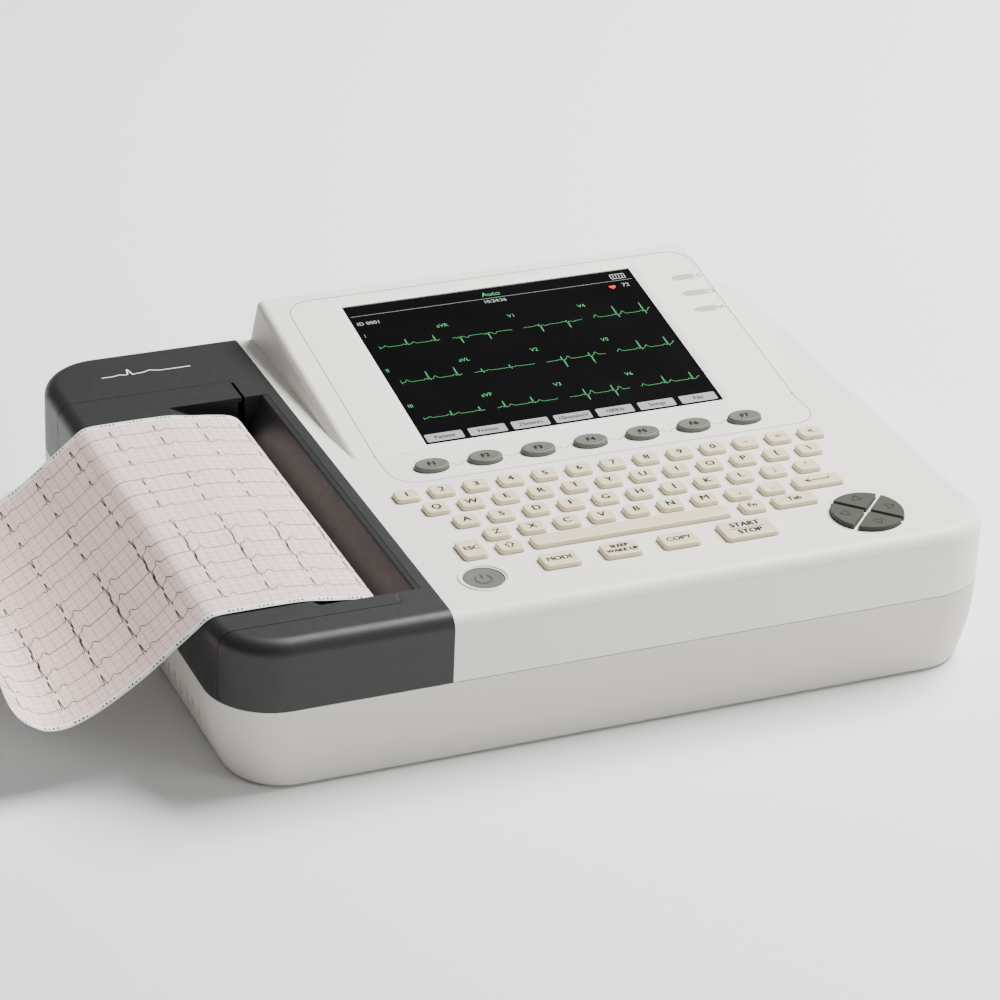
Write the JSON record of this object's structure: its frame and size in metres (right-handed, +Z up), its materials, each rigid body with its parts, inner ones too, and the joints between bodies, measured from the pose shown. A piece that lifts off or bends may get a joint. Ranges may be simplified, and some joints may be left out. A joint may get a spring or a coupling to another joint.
{
  "type": "ecg machine",
  "caption": "Desktop ecg machine with a raised tilted screen, a full keyboard, a cursor pad and a side recorder with a sliding door that feeds a wide chart.",
  "frame": {"origin": "centre of the case's plan, on the bench top under the feet", "axes": "+X to the operator's right, +Y away from the operator, +Z up; the chart comes out towards -X"},
  "size_m": [0.5214, 0.337, 0.1059],
  "materials": {
    "shell_white": "satin",
    "deck_white": "satin",
    "recorder_dark": "satin",
    "foot_rubber": "matt",
    "screw_steel": "zinc plated",
    "display_frame": "satin",
    "screen_black": "gloss, lit by the display behind it",
    "light_lens": "satin, translucent",
    "key_rubber": "matt",
    "board_green": "solder mask",
    "standoff_brass": "bare",
    "supply_case": "bare sheet",
    "battery_wrap": "shrink sleeve",
    "inlet_black": "moulded",
    "pin_nickel": "nickel plated",
    "inner_grey": "moulded",
    "chart_paper": "printed thermal paper",
    "core_card": "wound",
    "platen_rubber": "ground",
    "shaft_steel": "ground",
    "gear_acetal": "moulded",
    "head_ceramic": "glazed ceramic",
    "plate_steel": "zinc plated",
    "motor_case": "painted",
    "key_cream": "satin",
    "key_grey": "satin",
    "cursor_grey": "satin"
  },
  "bodies": {
    "case": {"base_shell": "shell_white", "top_shell": "deck_white", "recorder_cover": "recorder_dark", "rubber_feet": "foot_rubber", "case_screws": "screw_steel", "lcd_panel": "display_frame", "screen_window": "screen_black", "status_lights": "light_lens", "key_mat": "key_rubber", "key_board": "board_green", "main_board": "board_green", "board_standoffs": "standoff_brass", "power_supply": "supply_case", "battery_pack": "battery_wrap", "battery_cover": "shell_white", "mains_inlet": "inlet_black", "inlet_pins": "pin_nickel", "ground_stud": "standoff_brass", "patient_socket": "pin_nickel", "network_port": "pin_nickel", "usb_ports": "pin_nickel", "paper_tray": "inner_grey", "paper_web": "chart_paper", "print_head": "head_ceramic", "head_heatsink": "supply_case", "head_springs": "shaft_steel", "drive_plate": "plate_steel", "idler_axle": "shaft_steel", "step_motor": "motor_case"},
    "door": {"paper_door": "recorder_dark", "platen_bushes": "gear_acetal", "chart_paper": "chart_paper"},
    "platen": {"platen_rubber": "platen_rubber", "platen_shaft": "shaft_steel", "platen_gear": "gear_acetal"},
    "idler": {"idler_gear": "gear_acetal"},
    "pinion": {"motor_pinion": "standoff_brass"},
    "roll": {"chart_roll": "chart_paper", "roll_core": "core_card"},
    "number_keys": {"number_keys": "key_cream"},
    "top_letter_keys": {"top_letter_keys": "key_cream"},
    "home_letter_keys": {"home_letter_keys": "key_cream"},
    "low_letter_keys": {"low_letter_keys": "key_cream"},
    "space_bar": {"space_bar": "key_cream"},
    "escape_key": {"escape_key": "key_cream"},
    "shift_key": {"shift_key": "key_cream"},
    "enter_key": {"enter_key": "key_cream"},
    "tab_key": {"tab_key": "key_cream"},
    "function_key": {"function_key": "key_cream"},
    "mode_key": {"mode_key": "key_cream"},
    "sleep_key": {"sleep_key": "key_cream"},
    "copy_key": {"copy_key": "key_cream"},
    "start_key": {"start_key": "key_cream"},
    "power_button": {"power_button": "key_grey"},
    "soft_keys": {"soft_keys": "key_grey"},
    "cursor_up": {"cursor_up": "cursor_grey"},
    "cursor_right": {"cursor_right": "cursor_grey"},
    "cursor_down": {"cursor_down": "cursor_grey"},
    "cursor_left": {"cursor_left": "cursor_grey"}
  },
  "joints": [
    {"name": "door_slide", "type": "slide", "parent": "case", "child": "door", "axis": [-1, 0, 0], "range_m": [0, 0.06]},
    {"name": "platen_spin", "type": "hinge", "parent": "door", "child": "platen", "pos_m": [-0.12295, 0, 0.0544], "axis": [0, 1, 0], "continuous": true},
    {"name": "idler_spin", "type": "hinge", "parent": "case", "child": "idler", "pos_m": [-0.10606, 0, 0.05203], "axis": [0, 1, 0], "continuous": true},
    {"name": "pinion_spin", "type": "hinge", "parent": "case", "child": "pinion", "pos_m": [-0.112, 0, 0.03928], "axis": [0, 1, 0], "continuous": true},
    {"name": "roll_spin", "type": "hinge", "parent": "case", "child": "roll", "pos_m": [-0.168, 0, 0.0255], "axis": [0, 1, 0], "continuous": true},
    {"name": "number_keys_press", "type": "slide", "parent": "case", "child": "number_keys", "axis": [0, 0, -1], "range_m": [0, 0.0012], "stiffness_N_per_m": 1500, "springref_m": -0.0006},
    {"name": "top_letter_keys_press", "type": "slide", "parent": "case", "child": "top_letter_keys", "axis": [0, 0, -1], "range_m": [0, 0.0012], "stiffness_N_per_m": 1500, "springref_m": -0.0006},
    {"name": "home_letter_keys_press", "type": "slide", "parent": "case", "child": "home_letter_keys", "axis": [0, 0, -1], "range_m": [0, 0.0012], "stiffness_N_per_m": 1500, "springref_m": -0.0006},
    {"name": "low_letter_keys_press", "type": "slide", "parent": "case", "child": "low_letter_keys", "axis": [0, 0, -1], "range_m": [0, 0.0012], "stiffness_N_per_m": 1500, "springref_m": -0.0006},
    {"name": "space_bar_press", "type": "slide", "parent": "case", "child": "space_bar", "axis": [0, 0, -1], "range_m": [0, 0.0012], "stiffness_N_per_m": 400, "springref_m": -0.0006},
    {"name": "escape_key_press", "type": "slide", "parent": "case", "child": "escape_key", "axis": [0, 0, -1], "range_m": [0, 0.0012], "stiffness_N_per_m": 400, "springref_m": -0.0006},
    {"name": "shift_key_press", "type": "slide", "parent": "case", "child": "shift_key", "axis": [0, 0, -1], "range_m": [0, 0.0012], "stiffness_N_per_m": 400, "springref_m": -0.0006},
    {"name": "enter_key_press", "type": "slide", "parent": "case", "child": "enter_key", "axis": [0, 0, -1], "range_m": [0, 0.0012], "stiffness_N_per_m": 400, "springref_m": -0.0006},
    {"name": "tab_key_press", "type": "slide", "parent": "case", "child": "tab_key", "axis": [0, 0, -1], "range_m": [0, 0.0012], "stiffness_N_per_m": 400, "springref_m": -0.0006},
    {"name": "function_key_press", "type": "slide", "parent": "case", "child": "function_key", "axis": [0, 0, -1], "range_m": [0, 0.0012], "stiffness_N_per_m": 400, "springref_m": -0.0006},
    {"name": "mode_key_press", "type": "slide", "parent": "case", "child": "mode_key", "axis": [0, 0, -1], "range_m": [0, 0.0012], "stiffness_N_per_m": 400, "springref_m": -0.0006},
    {"name": "sleep_key_press", "type": "slide", "parent": "case", "child": "sleep_key", "axis": [0, 0, -1], "range_m": [0, 0.0012], "stiffness_N_per_m": 400, "springref_m": -0.0006},
    {"name": "copy_key_press", "type": "slide", "parent": "case", "child": "copy_key", "axis": [0, 0, -1], "range_m": [0, 0.0012], "stiffness_N_per_m": 400, "springref_m": -0.0006},
    {"name": "start_key_press", "type": "slide", "parent": "case", "child": "start_key", "axis": [0, 0, -1], "range_m": [0, 0.0012], "stiffness_N_per_m": 400, "springref_m": -0.0006},
    {"name": "power_button_press", "type": "slide", "parent": "case", "child": "power_button", "axis": [0, 0, -1], "range_m": [0, 0.0012], "stiffness_N_per_m": 400, "springref_m": -0.0006},
    {"name": "soft_keys_press", "type": "slide", "parent": "case", "child": "soft_keys", "axis": [0, 0, -1], "range_m": [0, 0.0012], "stiffness_N_per_m": 1500, "springref_m": -0.0006},
    {"name": "cursor_up_press", "type": "slide", "parent": "case", "child": "cursor_up", "axis": [0, 0, -1], "range_m": [0, 0.0012], "stiffness_N_per_m": 400, "springref_m": -0.0006},
    {"name": "cursor_right_press", "type": "slide", "parent": "case", "child": "cursor_right", "axis": [0, 0, -1], "range_m": [0, 0.0012], "stiffness_N_per_m": 400, "springref_m": -0.0006},
    {"name": "cursor_down_press", "type": "slide", "parent": "case", "child": "cursor_down", "axis": [0, 0, -1], "range_m": [0, 0.0012], "stiffness_N_per_m": 400, "springref_m": -0.0006},
    {"name": "cursor_left_press", "type": "slide", "parent": "case", "child": "cursor_left", "axis": [0, 0, -1], "range_m": [0, 0.0012], "stiffness_N_per_m": 400, "springref_m": -0.0006}
  ],
  "couplings": [
    {"joint": "idler_spin", "follows": "platen_spin", "ratio": -1.125},
    {"joint": "pinion_spin", "follows": "platen_spin", "ratio": 1.5},
    {"joint": "roll_spin", "follows": "platen_spin", "ratio": 0.39474}
  ]
}
